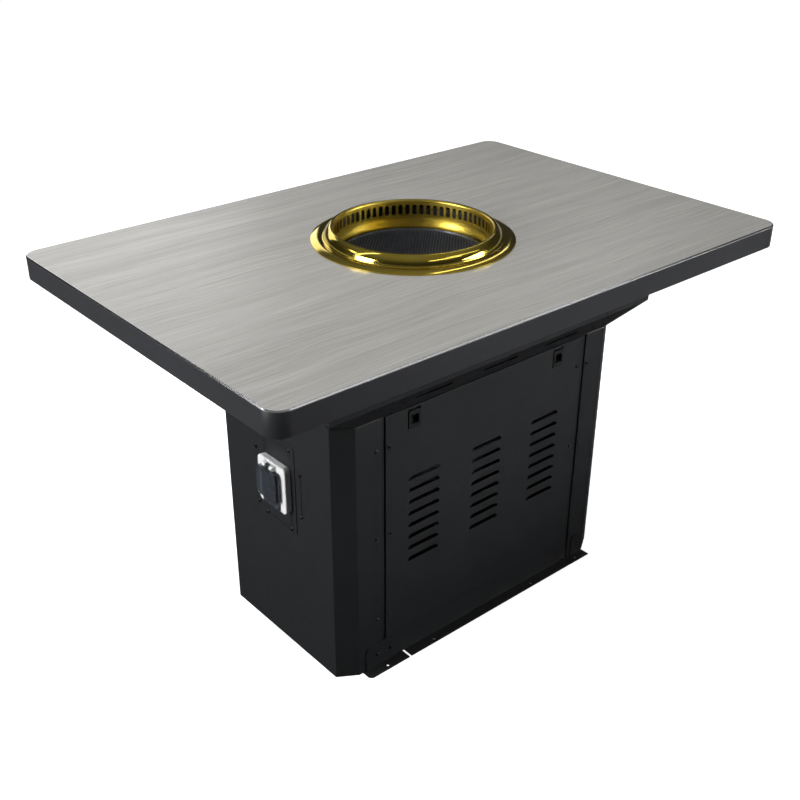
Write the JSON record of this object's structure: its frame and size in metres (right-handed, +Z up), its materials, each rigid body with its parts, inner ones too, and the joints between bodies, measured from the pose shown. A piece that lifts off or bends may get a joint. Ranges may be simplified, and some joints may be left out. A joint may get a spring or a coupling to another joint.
{
  "type": "smokeless barbecue grill table",
  "caption": "Restaurant barbecue table with a recessed grill ring, lift-out mesh and fire bowl, smoke purifier in a louvred steel pedestal, and a covered switch",
  "frame": {"origin": "on the floor under the middle of the tabletop", "axes": "+X along the long side, the louvred service panel faces -Y, the switch box is on the -X end, +Z up"},
  "size_m": [1.2, 0.8, 0.775],
  "materials": {
    "wood_top": "light grey oak laminate, satin",
    "edge_plastic": "charcoal, matte",
    "trim_metal": "bright anodised",
    "powder_coat": "charcoal powder coat, satin",
    "brass_ring": "polished gold tone",
    "mesh_steel": "woven steel, satin",
    "cast_bowl": "seasoned cast iron",
    "inner_steel": "galvanised sheet",
    "impeller_metal": "mill finish",
    "motor_paint": "grey enamel",
    "box_plastic": "light grey, matte",
    "latch_plastic": "black, fine texture",
    "gasket_rubber": "matte",
    "white_plastic": "white, gloss",
    "blue_plastic": "blue, gloss",
    "smoked_cover": "smoked clear, gloss",
    "pin_steel": "bright",
    "screw_steel": "black zinc"
  },
  "bodies": {
    "table": {"access_plate": "powder_coat", "access_plate_screws": "screw_steel", "base_pan": "inner_steel", "base_rail": "powder_coat", "blower_motor": "motor_paint", "blower_scroll": "inner_steel", "bowl_stand": "inner_steel", "column_screws": "screw_steel", "control_box": "box_plastic", "cover_hinge_pin": "pin_steel", "duct_collar": "inner_steel", "edge_band": "edge_plastic", "edge_strip_front": "edge_plastic", "edge_strip_left": "edge_plastic", "edge_strip_rear": "edge_plastic", "edge_strip_right": "edge_plastic", "edge_trim": "trim_metal", "end_shell_screws": "screw_steel", "exhaust_jacket": "inner_steel", "filter_cell": "inner_steel", "foot_bracket_left": "powder_coat", "foot_bracket_right": "powder_coat", "foot_screws": "screw_steel", "header_rail": "inner_steel", "hood_front_cover": "powder_coat", "hood_left_end": "powder_coat", "hood_rear_cover": "powder_coat", "hood_right_end": "powder_coat", "jamb_left": "powder_coat", "jamb_right": "powder_coat", "laminate_sheet": "wood_top", "left_end_shell": "powder_coat", "oil_tray": "inner_steel", "purifier_case": "inner_steel", "purifier_shelf": "inner_steel", "rear_panel": "powder_coat", "rear_panel_screws": "screw_steel", "right_end_shell": "powder_coat", "switch_base": "white_plastic", "switch_gasket": "gasket_rubber", "switch_module": "blue_plastic", "table_board": "wood_top", "top_rail_front": "inner_steel", "top_rail_left": "inner_steel", "top_rail_rear": "inner_steel", "top_rail_right": "inner_steel"},
    "ring": {"grill_ring": "brass_ring"},
    "bowl": {"fire_bowl": "cast_bowl"},
    "mesh": {"mesh_plate": "mesh_steel"},
    "panel": {"service_panel": "powder_coat", "stiffener_left": "inner_steel", "stiffener_right": "inner_steel", "latch_housing_left": "latch_plastic", "latch_housing_right": "latch_plastic", "panel_screws": "screw_steel"},
    "latch_left": {"latch_slider_left": "latch_plastic"},
    "latch_right": {"latch_slider_right": "latch_plastic"},
    "cover": {"flip_cover": "smoked_cover"},
    "rocker": {"switch_rocker": "blue_plastic"},
    "wheel": {"impeller": "impeller_metal"}
  },
  "joints": [
    {"name": "ring_lift", "type": "slide", "parent": "table", "child": "ring", "axis": [0, 0, 1], "range_m": [0, 0.12]},
    {"name": "bowl_lift", "type": "slide", "parent": "table", "child": "bowl", "axis": [0, 0, 1], "range_m": [0, 0.16]},
    {"name": "mesh_lift", "type": "slide", "parent": "bowl", "child": "mesh", "axis": [0, 0, 1], "range_m": [0, 0.1]},
    {"name": "panel_tilt", "type": "hinge", "parent": "table", "child": "panel", "pos_m": [0, -0.216, 0.055], "axis": [1, 0, 0], "range_deg": [0, 30]},
    {"name": "latch_left_lift", "type": "slide", "parent": "panel", "child": "latch_left", "axis": [0, 0, 1], "range_m": [0, 0.004]},
    {"name": "latch_right_lift", "type": "slide", "parent": "panel", "child": "latch_right", "axis": [0, 0, 1], "range_m": [0, 0.004]},
    {"name": "cover_flip", "type": "hinge", "parent": "table", "child": "cover", "pos_m": [-0.3743, -0.032, 0.4085], "axis": [0, 1, 0], "range_deg": [0, 110]},
    {"name": "rocker_tip", "type": "hinge", "parent": "table", "child": "rocker", "pos_m": [-0.3657, -0.032, 0.372], "axis": [0, 1, 0], "range_deg": [0, 14]},
    {"name": "wheel_spin", "type": "hinge", "parent": "table", "child": "wheel", "pos_m": [0.0525, -0.015, 0.278], "axis": [0, 0, 1], "continuous": true}
  ]
}
